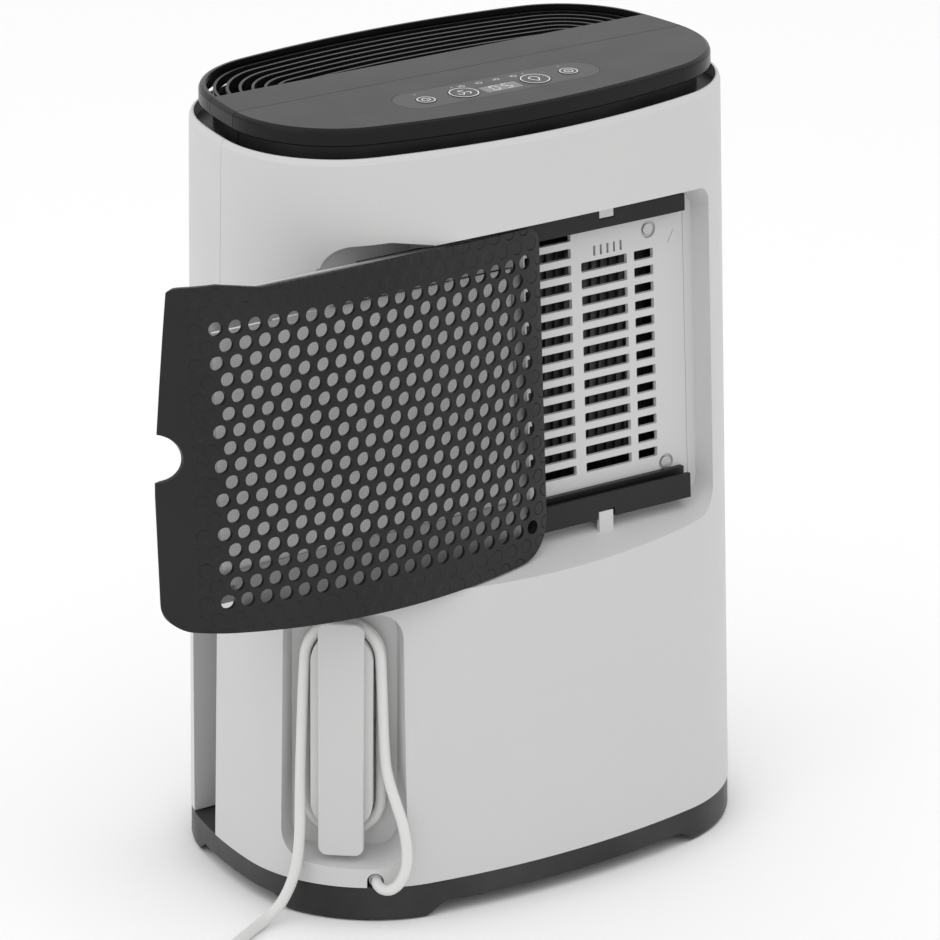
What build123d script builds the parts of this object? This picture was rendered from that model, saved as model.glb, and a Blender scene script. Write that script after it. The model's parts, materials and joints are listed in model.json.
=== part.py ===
"""Compressor dehumidifier: a free-standing household machine, modelled piece by piece.

Frame: millimetres, +Z up, origin on the floor under the middle of the base.
The rear (filter side) faces +Y, the front (tank side) faces -Y.
"""
from build123d import *
import os
from math import atan, cos, pi, radians, sin, sqrt, tan

os.makedirs("parts", exist_ok=True)

# ---------------------------------------------------------------- driving dimensions
HALF_WIDTH = 178.0
HEIGHT = 510.0
END_Y = 22.0                # the ends bulge furthest at this y
REAR_DEPTH = 102.4          # rear apex in front of END_Y, at the floor
FRONT_DEPTH = 145.4
REAR_LEAN = 0.07            # the rear wall leans in by this much per mm of height
FRONT_LEAN = 0.02
REAR_RADIUS = 551.0
FRONT_RADIUS = 687.0
END_RADIUS = 323.7
REAR_CORNER = 93.8
FRONT_CORNER = 82.0
APEX = END_Y + REAR_DEPTH   # y of the rear apex line at the floor
LEAN = atan(REAR_LEAN)

SHELL_BOTTOM = 22.8
SHELL_TOP = 492.5
WALL = 3.0
SKIRT_BOTTOM = 8.8
TANK_TOP = 216.0
DECK_LEVEL = 219.0          # underside of the chassis deck, above the tank
SPLIT_Y = -24.4             # parting plane of the shells at the floor
SPLIT_LEAN = 0.0337

NECK_INSET = 15.0
CAP_INSET = 6.0
CAP_BOTTOM = 499.0
SEAM_FRONT = -36.6          # front edge of the band across the cap
SEAM_REAR = -3.8

POCKET_FLOOR = 91.0         # depths of the filter pocket, measured at the floor line
POCKET_TOP = 436.3
POCKET_BOTTOM = 210.5
POCKET_RIGHT = -133.5
RAIL_FACE = 102.0
RAIL_LEFT = 124.0
RAIL_RIGHT = -117.0

COVER_TRAVEL = 125.0        # the cover is modelled this far drawn out
COVER_RIGHT = -125.0
COVER_LEFT = 150.0
HOLE_PITCH = 12.5
HOLE_ROW = 10.7
HOLE_DIAMETER = 9.0

CORD = 7.0                  # cord diameter
WINDER_ANGLE = 40.0         # the cord recess faces this far round from +Y towards +X
WINDER_SIDE = -61.3
WINDER_FLOOR = 138.0
WINDER_Z = 123.5


# ---------------------------------------------------------------- body outline
def corner_points(half_width, depth, side_radius, corner_radius, end_radius):
    """Tangent points and middle of the corner arc between a side arc and an end arc."""
    side = Vector(0, depth - side_radius)
    end = Vector(half_width - end_radius, 0)
    span = (end - side).length
    reach_side = side_radius - corner_radius
    reach_end = end_radius - corner_radius
    along = (reach_side**2 - reach_end**2 + span**2) / (2 * span)
    off = sqrt(reach_side**2 - along**2)
    unit = (end - side).normalized()
    centre = side + unit * along + Vector(unit.Y, -unit.X) * off
    to_side = (centre - side).normalized()
    to_end = (centre - end).normalized()
    middle = (to_side + to_end).normalized()
    return (centre + to_side * corner_radius, centre + middle * corner_radius,
            centre + to_end * corner_radius)


def body_outline(height, inset=0.0):
    """The body's plan section at a height, moved inwards by inset."""
    rear = REAR_DEPTH - REAR_LEAN * height - inset
    front = FRONT_DEPTH - FRONT_LEAN * height - inset
    width = HALF_WIDTH - inset
    rear_corner = corner_points(
        width, rear, REAR_RADIUS - REAR_LEAN * height - inset,
        REAR_CORNER - REAR_LEAN / 2 * height - inset, END_RADIUS - inset)
    front_corner = corner_points(
        width, front, FRONT_RADIUS - FRONT_LEAN * height - inset,
        FRONT_CORNER - FRONT_LEAN / 2 * height - inset, END_RADIUS - inset)

    def place(point, across, along):
        return (point.X * across, END_Y + point.Y * along)

    rear_right = [place(p, 1, 1) for p in rear_corner]
    rear_left = [place(p, -1, 1) for p in rear_corner]
    front_right = [place(p, 1, -1) for p in front_corner]
    front_left = [place(p, -1, -1) for p in front_corner]
    end_y = (rear_right[2][1] + front_right[2][1]) / 2
    end_radius = END_RADIUS - inset
    bulge = width - end_radius + sqrt(end_radius**2 - (end_y - END_Y)**2)
    with BuildSketch(Plane.XY.offset(height)) as section:
        with BuildLine():
            ThreePointArc(rear_left[0], (0, END_Y + rear), rear_right[0])
            ThreePointArc(*rear_right)
            ThreePointArc(rear_right[2], (bulge, end_y), front_right[2])
            ThreePointArc(*reversed(front_right))
            ThreePointArc(front_right[0], (0, END_Y - front), front_left[0])
            ThreePointArc(*front_left)
            ThreePointArc(front_left[2], (-bulge, end_y), rear_left[2])
            ThreePointArc(*reversed(rear_left))
        make_face()
    return section.sketch


def body_block(low, high, inset=0.0):
    """A solid slice of the body between two heights."""
    with BuildPart() as block:
        loft(sections=[body_outline(low, inset), body_outline(high, inset)], ruled=True)
    return block.part


def rear_plane(depth):
    """Plane parallel to the leaning rear apex line; local x runs along -X, local y up."""
    return Plane(origin=(0, depth, 0), x_dir=(-1, 0, 0), z_dir=(0, cos(LEAN), sin(LEAN)))


def slope(height):
    """Distance along the leaning rear planes for a height above the floor."""
    return height / cos(LEAN)


def panel_sketch(depth, right, left, low, high, low_radius, high_radius):
    """A rectangle on a rear plane, with rounded corners at its right-hand end."""
    with BuildSketch(rear_plane(depth)) as outline:
        with BuildLine():
            Polyline((-left, slope(low)), (-right, slope(low)), (-right, slope(high)),
                     (-left, slope(high)), close=True)
        make_face()
        fillet(outline.vertices().group_by(Axis.X)[-1].sort_by(Axis.Y)[0], low_radius)
        fillet(outline.vertices().group_by(Axis.X)[-1].sort_by(Axis.Y)[-1], high_radius)
    return outline.sketch


def winder_plane(depth):
    """Upright plane across the rear corner; local x runs along the wall, local y is z."""
    turn = radians(WINDER_ANGLE)
    normal = Vector(sin(turn), cos(turn), 0)
    across = Vector(-cos(turn), sin(turn), 0)
    origin = normal * depth + across * WINDER_SIDE + Vector(0, 0, WINDER_Z)
    return Plane(origin=origin, x_dir=across, z_dir=normal)


def save(builder, name):
    """Label a finished piece and write it."""
    builder.part.label = name
    export_step(builder.part, f"parts/{name}.step")


PARTING = Plane(origin=(0, SPLIT_Y, 0), z_dir=(0, 1, -SPLIT_LEAN))
SHELL_GAP = 0.3

# ---------------------------------------------------------------- base tray and feet
ARCH_LOW_X = 107.0
ARCH_END_Y = 62.0
FLOOR_CLEARANCE = 0.8
FOOT_THICKNESS = 3.0
FEET = ((130, 62), (-130, 62), (130, -72), (-130, -72), (0, 0))

with BuildPart() as base_tray:
    loft(sections=[body_outline(FLOOR_CLEARANCE, 1.2), body_outline(3.0, 0.4),
                   body_outline(SHELL_BOTTOM, 0.4)], ruled=True)
    loft(sections=[body_outline(FLOOR_CLEARANCE, 4.5), body_outline(18.8, 4.5)],
         ruled=True, mode=Mode.SUBTRACT)
    with BuildSketch(Plane.XZ) as long_arch:
        with BuildLine():
            Polyline((-ARCH_LOW_X, -1), (-ARCH_LOW_X + 14, SKIRT_BOTTOM),
                     (ARCH_LOW_X - 14, SKIRT_BOTTOM), (ARCH_LOW_X, -1), close=True)
        make_face()
        fillet(long_arch.vertices().group_by(Axis.Y)[-1], 9)
    extrude(amount=200, both=True, mode=Mode.SUBTRACT)
    with BuildSketch(Plane.YZ) as end_arch:
        with BuildLine():
            Polyline((-ARCH_END_Y + 8, -1), (-ARCH_END_Y + 20, SKIRT_BOTTOM),
                     (ARCH_END_Y - 16, SKIRT_BOTTOM), (ARCH_END_Y - 4, -1), close=True)
        make_face()
        fillet(end_arch.vertices().group_by(Axis.Y)[-1], 8)
    extrude(amount=200, both=True, mode=Mode.SUBTRACT)
    for foot_x, foot_y in FEET:
        with Locations((foot_x, foot_y, FOOT_THICKNESS)):
            Cylinder(16, 16.5, align=(Align.CENTER, Align.CENTER, Align.MIN))
            Cylinder(4.2, 8, align=(Align.CENTER, Align.CENTER, Align.MIN), mode=Mode.SUBTRACT)
save(base_tray, "base_tray")

with BuildPart() as rubber_feet:
    for foot_x, foot_y in FEET:
        with Locations((foot_x, foot_y, 0)):
            Cylinder(14, FOOT_THICKNESS, align=(Align.CENTER, Align.CENTER, Align.MIN))
            Cylinder(4, 8, align=(Align.CENTER, Align.CENTER, Align.MIN))
    chamfer(rubber_feet.edges().filter_by(GeomType.CIRCLE).group_by(Axis.Z)[0], 0.8)
save(rubber_feet, "rubber_feet")

# ---------------------------------------------------------------- housing shells
WALL_DRAFT = 0.35           # the pocket's top and bottom walls slope by this much
END_DRAFT = 0.3
POCKET_EDGE = 105.0         # depth at which the pocket's end wall meets the surface
OUTER_DEPTH = 128.0
SCOOP_TOP = 438.0
SCOOP_RADIUS = 17.0
PANEL_LOW = 230.0
PANEL_HIGH = 418.0
PANEL_RIGHT = -123.0
PANEL_LEFT = 140.0


def pocket_section(depth, grow=0.0):
    """Filter pocket outline at a depth; grow thickens it for the skin behind it."""
    sink = APEX - depth
    return panel_sketch(
        depth, POCKET_RIGHT - END_DRAFT * (depth - POCKET_EDGE) - grow, 215,
        POCKET_BOTTOM + WALL_DRAFT * sink - grow, POCKET_TOP - WALL_DRAFT * sink + grow,
        16 + grow, 10 + grow)


with BuildPart() as pocket:
    loft(sections=[pocket_section(POCKET_FLOOR), pocket_section(OUTER_DEPTH)], ruled=True)
    with BuildSketch(rear_plane(POCKET_FLOOR)) as scoop:
        with BuildLine():
            Polyline((-84, slope(420)), (-84, slope(432.5)), (-112, slope(SCOOP_TOP)),
                     (-152, slope(SCOOP_TOP)), (-152, slope(420)), close=True)
        make_face()
        fillet(scoop.vertices().group_by(Axis.Y)[-1], SCOOP_RADIUS)
    extrude(amount=40)

with BuildPart() as pocket_skin:
    loft(sections=[pocket_section(POCKET_FLOOR - WALL, WALL),
                   pocket_section(OUTER_DEPTH, WALL)], ruled=True)
    with BuildSketch(rear_plane(POCKET_FLOOR - WALL)):
        with BuildLine():
            Polyline((-80, slope(420)), (-80, slope(436)), (-110, slope(SCOOP_TOP + WALL)),
                     (-160, slope(SCOOP_TOP + WALL)), (-160, slope(420)), close=True)
        make_face()
    extrude(amount=40)
    add(body_block(SHELL_BOTTOM, SHELL_TOP), mode=Mode.INTERSECT)

RECESS_HALF = 42.0
RECESS_FLOOR_HALF = 33.0
RECESS_LOW = 35.5 - WINDER_Z
RECESS_HIGH = 205.0 - WINDER_Z


def recess_section(depth, half, low, high, radius):
    """Cord recess outline on a winder plane."""
    with BuildSketch(winder_plane(depth)) as outline:
        with Locations((0, (low + high) / 2)):
            RectangleRounded(2 * half, high - low, radius)
    return outline.sketch


with BuildPart() as recess:
    loft(sections=[
        recess_section(WINDER_FLOOR, RECESS_FLOOR_HALF, RECESS_LOW + 6, RECESS_HIGH - 4, 14),
        recess_section(170, RECESS_HALF + 6, RECESS_LOW - 2, RECESS_HIGH + 1, 22)], ruled=True)

with BuildPart() as recess_skin:
    loft(sections=[
        recess_section(WINDER_FLOOR - WALL, RECESS_FLOOR_HALF + WALL, RECESS_LOW + 3,
                       RECESS_HIGH - 1, 17),
        recess_section(170, RECESS_HALF + 6 + WALL, RECESS_LOW - 5, RECESS_HIGH + 4, 25)],
        ruled=True)
    add(body_block(SHELL_BOTTOM, SHELL_TOP), mode=Mode.INTERSECT)

OUTLET_SIDE = 22.3           # place of the cord outlet along the wall, from the winder
OUTLET_Z = 27.2

TAB_WIDTH = 10.8
TAB_BACK = 98.8
RAIL_TABS = ((-50.4, 215.0, 231.6), (-56.4, 422.3, 431.0))

with BuildPart() as rear_shell:
    loft(sections=[body_outline(SHELL_BOTTOM), body_outline(489.0), body_outline(491.5, 0.8),
                   body_outline(SHELL_TOP, 2.0)], ruled=True)
    loft(sections=[body_outline(SHELL_BOTTOM, WALL), body_outline(SHELL_TOP, WALL)],
         ruled=True, mode=Mode.SUBTRACT)
    add(pocket_skin.part)
    add(recess_skin.part)
    add(pocket.part, mode=Mode.SUBTRACT)
    add(recess.part, mode=Mode.SUBTRACT)
    with BuildSketch(rear_plane(POCKET_FLOOR)):
        with Locations((-(PANEL_LEFT + PANEL_RIGHT) / 2, slope((PANEL_LOW + PANEL_HIGH) / 2))):
            RectangleRounded(PANEL_LEFT - PANEL_RIGHT, slope(PANEL_HIGH - PANEL_LOW), 5)
    extrude(amount=6, both=True, mode=Mode.SUBTRACT)
    with BuildSketch(winder_plane(WINDER_FLOOR)):
        with Locations((OUTLET_SIDE, OUTLET_Z - WINDER_Z)):
            Circle(5.2)
        with Locations((OUTLET_SIDE, OUTLET_Z - 8 - WINDER_Z)):
            Rectangle(10.4, 16)
    extrude(amount=40, mode=Mode.SUBTRACT)
    for tab_x, tab_low, tab_high in RAIL_TABS:
        with BuildSketch(rear_plane(TAB_BACK)):
            with Locations((-tab_x, slope((tab_low + tab_high) / 2))):
                Rectangle(TAB_WIDTH, slope(tab_high - tab_low))
        extrude(amount=RAIL_FACE - 0.3 - TAB_BACK)
    split(bisect_by=PARTING, keep=Keep.TOP)
save(rear_shell, "rear_shell")

FRONT_PARTING = PARTING.offset(-SHELL_GAP)
FRONT_SHELL_BOTTOM = 217.2

with BuildPart() as front_shell:
    loft(sections=[body_outline(FRONT_SHELL_BOTTOM), body_outline(489.0),
                   body_outline(491.5, 0.8), body_outline(SHELL_TOP, 2.0)], ruled=True)
    loft(sections=[body_outline(FRONT_SHELL_BOTTOM, WALL), body_outline(SHELL_TOP, WALL)],
         ruled=True, mode=Mode.SUBTRACT)
    split(bisect_by=FRONT_PARTING, keep=Keep.BOTTOM)
save(front_shell, "front_shell")

# ---------------------------------------------------------------- cap
GUTTER_LOW = 481.5
GUTTER_HIGH = 484.0
NECK_WALL = 2.5

with BuildPart() as top_frame:
    loft(sections=[body_outline(GUTTER_LOW, WALL + 0.3), body_outline(GUTTER_HIGH, WALL + 0.3)],
         ruled=True)
    loft(sections=[body_outline(GUTTER_HIGH, NECK_INSET), body_outline(CAP_BOTTOM, NECK_INSET)],
         ruled=True)
    loft(sections=[body_outline(GUTTER_LOW, NECK_INSET + NECK_WALL),
                   body_outline(CAP_BOTTOM, NECK_INSET + NECK_WALL)],
         ruled=True, mode=Mode.SUBTRACT)
    with Locations((0, (SEAM_FRONT + SEAM_REAR) / 2, 488)):
        Box(2 * HALF_WIDTH - 2 * NECK_INSET - 3, 14, 13)
save(top_frame, "top_frame")

CAP_SEAM = 0.2
DECK_UNDERSIDE = 506.5
CAP_WALL = 3.0


def cap_slab():
    """The whole cap as one slab with rounded upper edges and a hollow underside."""
    with BuildPart() as slab:
        loft(sections=[body_outline(CAP_BOTTOM, CAP_INSET + 0.8),
                       body_outline(CAP_BOTTOM + 1, CAP_INSET),
                       body_outline(HEIGHT - 2.8, CAP_INSET),
                       body_outline(HEIGHT - 1, CAP_INSET + 0.8),
                       body_outline(HEIGHT, CAP_INSET + 2.6)], ruled=True)
        loft(sections=[body_outline(CAP_BOTTOM, CAP_INSET + CAP_WALL),
                       body_outline(DECK_UNDERSIDE, CAP_INSET + CAP_WALL)],
             ruled=True, mode=Mode.SUBTRACT)
    return slab.part


PANEL_CENTRE = (4.4, 38.2)
PANEL_LENGTH = 150.0
PANEL_WIDTH = 33.0
PANEL_DEPTH = 1.6
KEY_GAP = 0.3
KEYS = {"key_power": (58.6, 40.2, 6.3), "key_mode": (30.9, 40.8, 9.8),
        "key_humidity": (-22.6, 41.0, 9.8), "key_timer": (-49.6, 39.0, 6.3)}
DISPLAY = (4.2, 42.3)
DISPLAY_SIZE = (27.0, 12.0)

with BuildPart() as top_deck:
    add(cap_slab())
    split(bisect_by=Plane.XZ.offset(-(SEAM_REAR + CAP_SEAM)), keep=Keep.BOTTOM)
    with BuildSketch(Plane.XY.offset(HEIGHT)):
        with Locations(PANEL_CENTRE):
            SlotOverall(PANEL_LENGTH, PANEL_WIDTH)
    extrude(amount=-PANEL_DEPTH, mode=Mode.SUBTRACT)
    for key_x, key_y, key_radius in KEYS.values():
        with Locations((key_x, key_y, HEIGHT)):
            Cylinder(key_radius + KEY_GAP, 20, mode=Mode.SUBTRACT)
    with Locations((*DISPLAY, HEIGHT - 3)):
        Box(DISPLAY_SIZE[0] - 3, DISPLAY_SIZE[1] - 3, 12, mode=Mode.SUBTRACT)
save(top_deck, "top_deck")

with BuildPart() as centre_band:
    add(cap_slab())
    split(bisect_by=Plane.XZ.offset(-(SEAM_REAR - CAP_SEAM)), keep=Keep.TOP)
    split(bisect_by=Plane.XZ.offset(-(SEAM_FRONT + CAP_SEAM)), keep=Keep.BOTTOM)
save(centre_band, "centre_band")

RIB_FIRST = 15.0
RIB_PITCH = 7.9
RIB_COUNT = 8
RIB_WIDTH = 1.8
RIB_TOP = 507.0
RIB_BOTTOM = 501.0
GRILLE_RIM = 4.5


def rib_ring(inset):
    """A thin upright rib that runs round parallel to the cap's rim."""
    with BuildPart() as ring:
        loft(sections=[body_outline(RIB_BOTTOM, inset), body_outline(RIB_TOP, inset)],
             ruled=True)
        loft(sections=[body_outline(RIB_BOTTOM, inset + RIB_WIDTH),
                       body_outline(RIB_TOP, inset + RIB_WIDTH)],
             ruled=True, mode=Mode.SUBTRACT)
    return ring.part


with BuildPart() as grille_bars:
    with Locations((0, -80, CAP_BOTTOM)):
        with GridLocations(50, 1, 7, 1):
            Box(2.4, 120, 2.6, align=(Align.CENTER, Align.CENTER, Align.MIN))
    add(body_block(CAP_BOTTOM, CAP_BOTTOM + 3, CAP_INSET + 1), mode=Mode.INTERSECT)

with BuildPart() as outlet_grille:
    add(cap_slab())
    loft(sections=[body_outline(CAP_BOTTOM, CAP_INSET + GRILLE_RIM),
                   body_outline(HEIGHT + 1, CAP_INSET + GRILLE_RIM)],
         ruled=True, mode=Mode.SUBTRACT)
    for rib in range(RIB_COUNT):
        add(rib_ring(RIB_FIRST + rib * RIB_PITCH))
    add(grille_bars.part)
    with Locations((0, SEAM_FRONT - CAP_SEAM - 1.5, CAP_BOTTOM)):
        Box(2 * HALF_WIDTH - 24, 3, 8, align=(Align.CENTER, Align.CENTER, Align.MIN))
    split(bisect_by=Plane.XZ.offset(-(SEAM_FRONT - CAP_SEAM)), keep=Keep.TOP)
save(outlet_grille, "outlet_grille")

with BuildPart() as control_panel:
    with BuildSketch(Plane.XY.offset(HEIGHT - PANEL_DEPTH)):
        with Locations(PANEL_CENTRE):
            SlotOverall(PANEL_LENGTH - 0.5, PANEL_WIDTH - 0.5)
    extrude(amount=PANEL_DEPTH)
    for key_x, key_y, key_radius in KEYS.values():
        with Locations((key_x, key_y, HEIGHT)):
            Cylinder(key_radius + KEY_GAP, 20, mode=Mode.SUBTRACT)
    with Locations((*DISPLAY, HEIGHT)):
        Box(DISPLAY_SIZE[0] + 0.4, DISPLAY_SIZE[1] + 0.4, 12, mode=Mode.SUBTRACT)
save(control_panel, "control_panel")

with BuildPart() as display_lens:
    with Locations((*DISPLAY, HEIGHT - PANEL_DEPTH)):
        Box(*DISPLAY_SIZE, PANEL_DEPTH - 0.1, align=(Align.CENTER, Align.CENTER, Align.MIN))
    fillet(display_lens.edges().filter_by(Axis.Z), 0.8)
save(display_lens, "display_lens")

KEY_TOP = HEIGHT + 0.3
KEY_FLANGE = 503.5
KEY_FOOT = 501.6
for key_name, (key_x, key_y, key_radius) in KEYS.items():
    with BuildPart() as key:
        with BuildSketch(Plane((key_x, key_y, KEY_FLANGE))):
            Circle(key_radius)
        extrude(amount=KEY_TOP - KEY_FLANGE)
        fillet(key.edges().group_by(Axis.Z)[-1], 0.6)
        with BuildSketch(Plane((key_x, key_y, KEY_FLANGE))):
            Circle(key_radius + 1.2)
        extrude(amount=2.2)
        with BuildSketch(Plane((key_x, key_y, KEY_FOOT))):
            Circle(2.5)
        extrude(amount=KEY_FLANGE - KEY_FOOT)
    save(key, key_name)

BOARD_TOP = 497.6
with BuildPart() as control_board:
    with Locations((PANEL_CENTRE[0], PANEL_CENTRE[1], BOARD_TOP)):
        Box(156, 34, 1.6, align=(Align.CENTER, Align.CENTER, Align.MAX))
    for key_x, key_y, key_radius in KEYS.values():
        with Locations((key_x, key_y, BOARD_TOP)):
            Box(6, 6, 2.0, align=(Align.CENTER, Align.CENTER, Align.MIN))
            Cylinder(1.8, 3.0, align=(Align.CENTER, Align.CENTER, Align.MIN))
    with Locations((*DISPLAY, BOARD_TOP)):
        Box(23, 8.5, 7, align=(Align.CENTER, Align.CENTER, Align.MIN))
save(control_board, "control_board")

# ---------------------------------------------------------------- intake panel and rails
SLOT_PITCH = 10.9
SLOT_HEIGHT = 6.4
SLOT_TOP = 392.1
SLOT_ROWS = 13
COLUMNS = ((-92.0, 14.8, 0), (-61.4, 35.4, 0), (-18.3, 35.4, 2), (24.8, 35.4, 2),
           (67.9, 35.4, 0), (98.5, 14.8, 0))
PANEL_THICKNESS = 3.0
PANEL_SCREWS = ((-106.0, 249.3), (-96.0, 404.5), (118.0, 249.3), (118.0, 404.5))

with BuildPart() as intake_panel:
    with BuildSketch(rear_plane(POCKET_FLOOR)):
        with Locations((-(PANEL_LEFT + PANEL_RIGHT) / 2, slope((PANEL_LOW + PANEL_HIGH) / 2))):
            RectangleRounded(PANEL_LEFT - PANEL_RIGHT - 0.6, slope(PANEL_HIGH - PANEL_LOW) - 0.6,
                             4.7)
    extrude(amount=-PANEL_THICKNESS)
    with BuildSketch(rear_plane(POCKET_FLOOR)):
        for column_x, column_width, extra in COLUMNS:
            for row in range(-extra, SLOT_ROWS):
                slot_z = SLOT_TOP - row * SLOT_PITCH - SLOT_HEIGHT / 2
                with Locations((-column_x, slope(slot_z))):
                    RectangleRounded(column_width, SLOT_HEIGHT, 0.8)
        for vent in range(5):
            with Locations((54.1 + 5.1 * vent, slope(398.2))):
                Rectangle(1.6, 6.4)
        for screw_x, screw_z in PANEL_SCREWS:
            with Locations((-screw_x, slope(screw_z))):
                Circle(2.1)
    extrude(amount=-PANEL_THICKNESS, mode=Mode.SUBTRACT)
    with BuildSketch(rear_plane(POCKET_FLOOR)):
        for screw_x, screw_z in PANEL_SCREWS:
            with Locations((-screw_x, slope(screw_z))):
                Circle(5.6)
    extrude(amount=-1.8, mode=Mode.SUBTRACT)
    with BuildSketch(rear_plane(POCKET_FLOOR)):
        with Locations((115.4, slope(396.0))):
            Triangle(a=9, b=9, c=9)
    extrude(amount=0.5)
save(intake_panel, "intake_panel")

with BuildPart() as panel_screws:
    with BuildSketch(rear_plane(POCKET_FLOOR - 1.8)):
        for screw_x, screw_z in PANEL_SCREWS:
            with Locations((-screw_x, slope(screw_z))):
                Circle(3.6)
    extrude(amount=1.6)
    with BuildSketch(rear_plane(POCKET_FLOOR - 1.8)):
        for screw_x, screw_z in PANEL_SCREWS:
            with Locations((-screw_x, slope(screw_z))):
                Circle(1.8)
    extrude(amount=-7)
    with BuildSketch(rear_plane(POCKET_FLOOR - 0.2)):
        for screw_x, screw_z in PANEL_SCREWS:
            with Locations((-screw_x, slope(screw_z))):
                Rectangle(4.6, 1.0)
                Rectangle(1.0, 4.6)
    extrude(amount=-0.9, mode=Mode.SUBTRACT)
save(panel_screws, "panel_screws")

RAIL_BACK = POCKET_FLOOR + 0.1
GROOVE_BACK = 95.0
GROOVE_FRONT = 99.0


def rail_bar(back, front, low, high):
    """A straight bar along X between two depths and two heights."""
    with BuildPart() as strip:
        with BuildSketch(rear_plane(back)):
            with Locations((-(RAIL_LEFT + RAIL_RIGHT) / 2, slope((low + high) / 2))):
                Rectangle(RAIL_LEFT - RAIL_RIGHT, slope(high - low))
        extrude(amount=front - back)
    return strip.part


with BuildPart() as bottom_rail:
    add(rail_bar(RAIL_BACK, RAIL_FACE, 227.0, 231.0))
    add(rail_bar(RAIL_BACK, GROOVE_BACK, 227.0, 245.5))
    add(rail_bar(GROOVE_FRONT, RAIL_FACE, 227.0, 243.0))
    with BuildSketch(rear_plane(GROOVE_FRONT - 1)):
        with Locations((50.4, slope(227.0))):
            Rectangle(13.2, 11.0)
    extrude(amount=10, mode=Mode.SUBTRACT)
save(bottom_rail, "bottom_rail")

with BuildPart() as top_rail:
    add(rail_bar(GROOVE_BACK - 1, RAIL_FACE, 422.0, 425.2))
    add(rail_bar(RAIL_BACK, GROOVE_BACK, 413.0, 424.2))
    add(rail_bar(GROOVE_FRONT, RAIL_FACE, 416.0, 426.9))
    with BuildSketch(rear_plane(GROOVE_FRONT - 1)):
        with Locations((56.4, slope(427.5))):
            Rectangle(11.6, 12.0)
    extrude(amount=10, mode=Mode.SUBTRACT)
save(top_rail, "top_rail")

# ---------------------------------------------------------------- filter cover, frame, mesh
COVER_SKIN = 2.5
COVER_INSET = 0.4
COVER_TOP = 433.6
COVER_LOW = 212.3
COVER_EAR = 436.0
HOLE_ROWS = 17
HOLE_TOP_Z = 409.0
HOLE_FIRST_X = 114.0        # leftmost hole of the long rows, cover closed
HOLES_LONG = 19
NOTCH_Z = 330.0
NOTCH_RADIUS = 15.4

with BuildPart() as cover_field:
    with BuildSketch(Plane.XZ.offset(-70)) as cover_outline:
        with BuildLine():
            cover_top = ThreePointArc((COVER_RIGHT, COVER_TOP - 4.9), (0, COVER_TOP),
                                      (84, COVER_TOP - 2.6))
            cover_ear = Line(cover_top @ 1, (112, COVER_EAR))
            Line(cover_ear @ 1, (COVER_LEFT, COVER_EAR))
            Line((COVER_LEFT, COVER_EAR), (COVER_LEFT, COVER_LOW + 9.5))
            ThreePointArc((COVER_LEFT, COVER_LOW + 9.5), (12, COVER_LOW), (COVER_RIGHT,
                          COVER_LOW + 5.4))
            Line((COVER_RIGHT, COVER_LOW + 5.4), cover_top @ 0)
        make_face()
        fillet(cover_outline.vertices().group_by(Axis.X)[-1], 18)
        fillet(cover_outline.vertices().group_by(Axis.X)[0].sort_by(Axis.Y)[-1], 11)
        fillet(cover_outline.vertices().group_by(Axis.X)[0].sort_by(Axis.Y)[0], 26)
        with Locations((COVER_LEFT + 1, NOTCH_Z)):
            Circle(NOTCH_RADIUS, mode=Mode.SUBTRACT)
    extrude(amount=-70)

with BuildPart() as cover_holes:
    with BuildSketch(Plane.XZ.offset(-60)):
        for row in range(HOLE_ROWS):
            shift = (row % 2) * HOLE_PITCH / 2
            for column in range(HOLES_LONG - row % 2):
                with Locations((HOLE_FIRST_X - shift - column * HOLE_PITCH,
                                HOLE_TOP_Z - row * HOLE_ROW)):
                    Circle(HOLE_DIAMETER / 2)
    extrude(amount=-70)

COVER_POSTS = ((-104, 226), (-104, 421), (96, 226), (96, 421))
FRAME_FACE = 106.0

with BuildPart() as cover_shell:
    add(body_block(190, 460, COVER_INSET))
    add(body_block(189, 461, COVER_INSET + COVER_SKIN), mode=Mode.SUBTRACT)
    add(cover_field.part, mode=Mode.INTERSECT)
    add(cover_holes.part, mode=Mode.SUBTRACT)
    split(bisect_by=rear_plane(POCKET_FLOOR + 0.4), keep=Keep.TOP)

with BuildPart() as cover_posts:
    with BuildSketch(rear_plane(FRAME_FACE + 0.1)):
        for post_x, post_z in COVER_POSTS:
            with Locations((-post_x, slope(post_z))):
                Circle(3)
    extrude(amount=30)
    add(body_block(190, 460, COVER_INSET + COVER_SKIN - 1), mode=Mode.INTERSECT)

with BuildPart() as filter_cover:
    add(cover_shell.part.moved(Location((COVER_TRAVEL, 0, 0))))
    add(cover_posts.part.moved(Location((COVER_TRAVEL, 0, 0))))
save(filter_cover, "filter_cover")

FRAME_RIGHT = -114.0
FRAME_LEFT = 122.0
FRAME_LOW = 244.8
FRAME_HIGH = 412.6
FRAME_BAR = 8.0
TONGUE_LOW = 231.4
TONGUE_HIGH = 421.6


def frame_slab(back, front, left, right, low, high):
    """A flat rectangular slab on the rear planes, drawn out with the cover."""
    with BuildPart() as slab:
        with BuildSketch(rear_plane(back)):
            with Locations((-(left + right) / 2 - COVER_TRAVEL, slope((low + high) / 2))):
                Rectangle(left - right, slope(high - low))
        extrude(amount=front - back)
    return slab.part


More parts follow.
